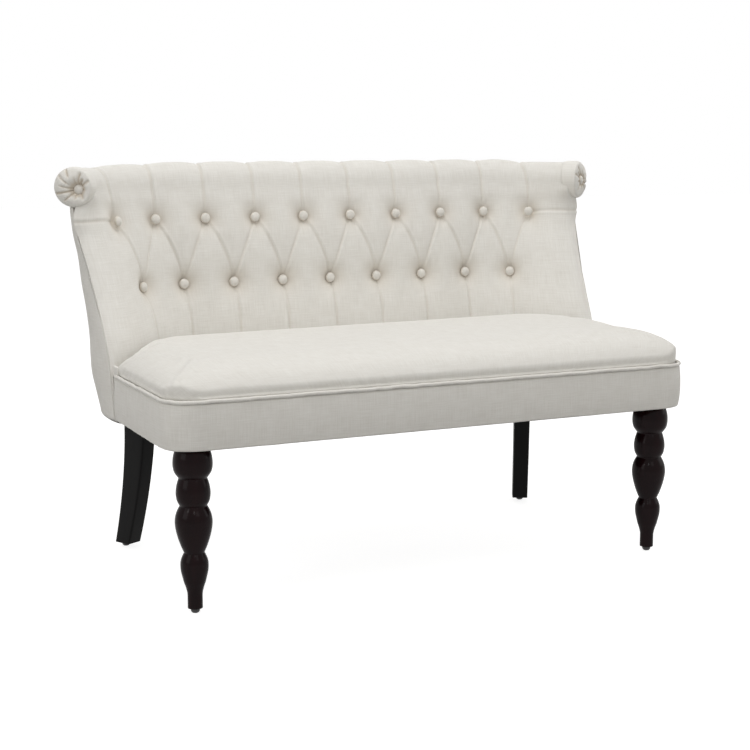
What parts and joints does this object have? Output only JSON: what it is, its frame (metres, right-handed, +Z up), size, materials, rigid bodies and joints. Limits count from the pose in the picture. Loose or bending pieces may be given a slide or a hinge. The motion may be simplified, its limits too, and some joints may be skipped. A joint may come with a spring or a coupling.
{
  "type": "armless loveseat",
  "caption": "Armless two-seat sofa with a curved, button-tufted back, rolled top, tight domed seat with a welt, turned front legs and square sabre rear legs.",
  "frame": {"origin": "on the floor, at the centre of the bounding box", "axes": "+Z up, the seat faces -Y, +X to the right as seen from the front"},
  "size_m": [1.2, 0.673, 0.781],
  "materials": {
    "linen": "matt plain-weave upholstery linen, cream",
    "rail_wood": "sawn, unfinished",
    "dark_wood": "gloss dark mahogany lacquer",
    "black_wood": "satin black paint",
    "dust_cloth": "black non-woven cloth",
    "deck_board": "plain board",
    "steel": "zinc plated",
    "glide_plastic": "moulded"
  },
  "bodies": {
    "root": {"back_centre_upright": "rail_wood", "back_post_left": "rail_wood", "back_post_right": "rail_wood", "back_top_rail": "rail_wood", "corner_block_front_left": "rail_wood", "corner_block_front_right": "rail_wood", "corner_block_rear_left": "rail_wood", "corner_block_rear_right": "rail_wood", "dust_cover": "dust_cloth", "front_leg_left": "dark_wood", "front_leg_right": "dark_wood", "glide_front_left": "glide_plastic", "glide_front_right": "glide_plastic", "glide_rear_left": "glide_plastic", "glide_rear_right": "glide_plastic", "inside_back": "linen", "leg_bolt_front_left": "steel", "leg_bolt_front_right": "steel", "leg_bolt_rear_left": "steel", "leg_bolt_rear_right": "steel", "outside_cover": "linen", "rear_leg_left": "black_wood", "rear_leg_right": "black_wood", "roll_end_button_left": "linen", "roll_end_button_right": "linen", "roll_end_cap_left": "linen", "roll_end_cap_right": "linen", "seat_band": "linen", "seat_cushion": "linen", "seat_deck": "deck_board", "seat_rail_front": "rail_wood", "seat_rail_left": "rail_wood", "seat_rail_rear": "rail_wood", "seat_rail_right": "rail_wood", "seat_welt": "linen", "tuft_button_lower_01": "linen", "tuft_button_lower_02": "linen", "tuft_button_lower_03": "linen", "tuft_button_lower_04": "linen", "tuft_button_lower_05": "linen", "tuft_button_lower_06": "linen", "tuft_button_lower_07": "linen", "tuft_button_lower_08": "linen", "tuft_button_lower_09": "linen", "tuft_button_upper_01": "linen", "tuft_button_upper_02": "linen", "tuft_button_upper_03": "linen", "tuft_button_upper_04": "linen", "tuft_button_upper_05": "linen", "tuft_button_upper_06": "linen", "tuft_button_upper_07": "linen", "tuft_button_upper_08": "linen", "tuft_button_upper_09": "linen", "tuft_button_upper_10": "linen", "wing_board_left": "rail_wood", "wing_board_right": "rail_wood", "wing_facing_left": "linen", "wing_facing_right": "linen", "wing_welt_left": "linen", "wing_welt_right": "linen"}
  },
  "joints": []
}
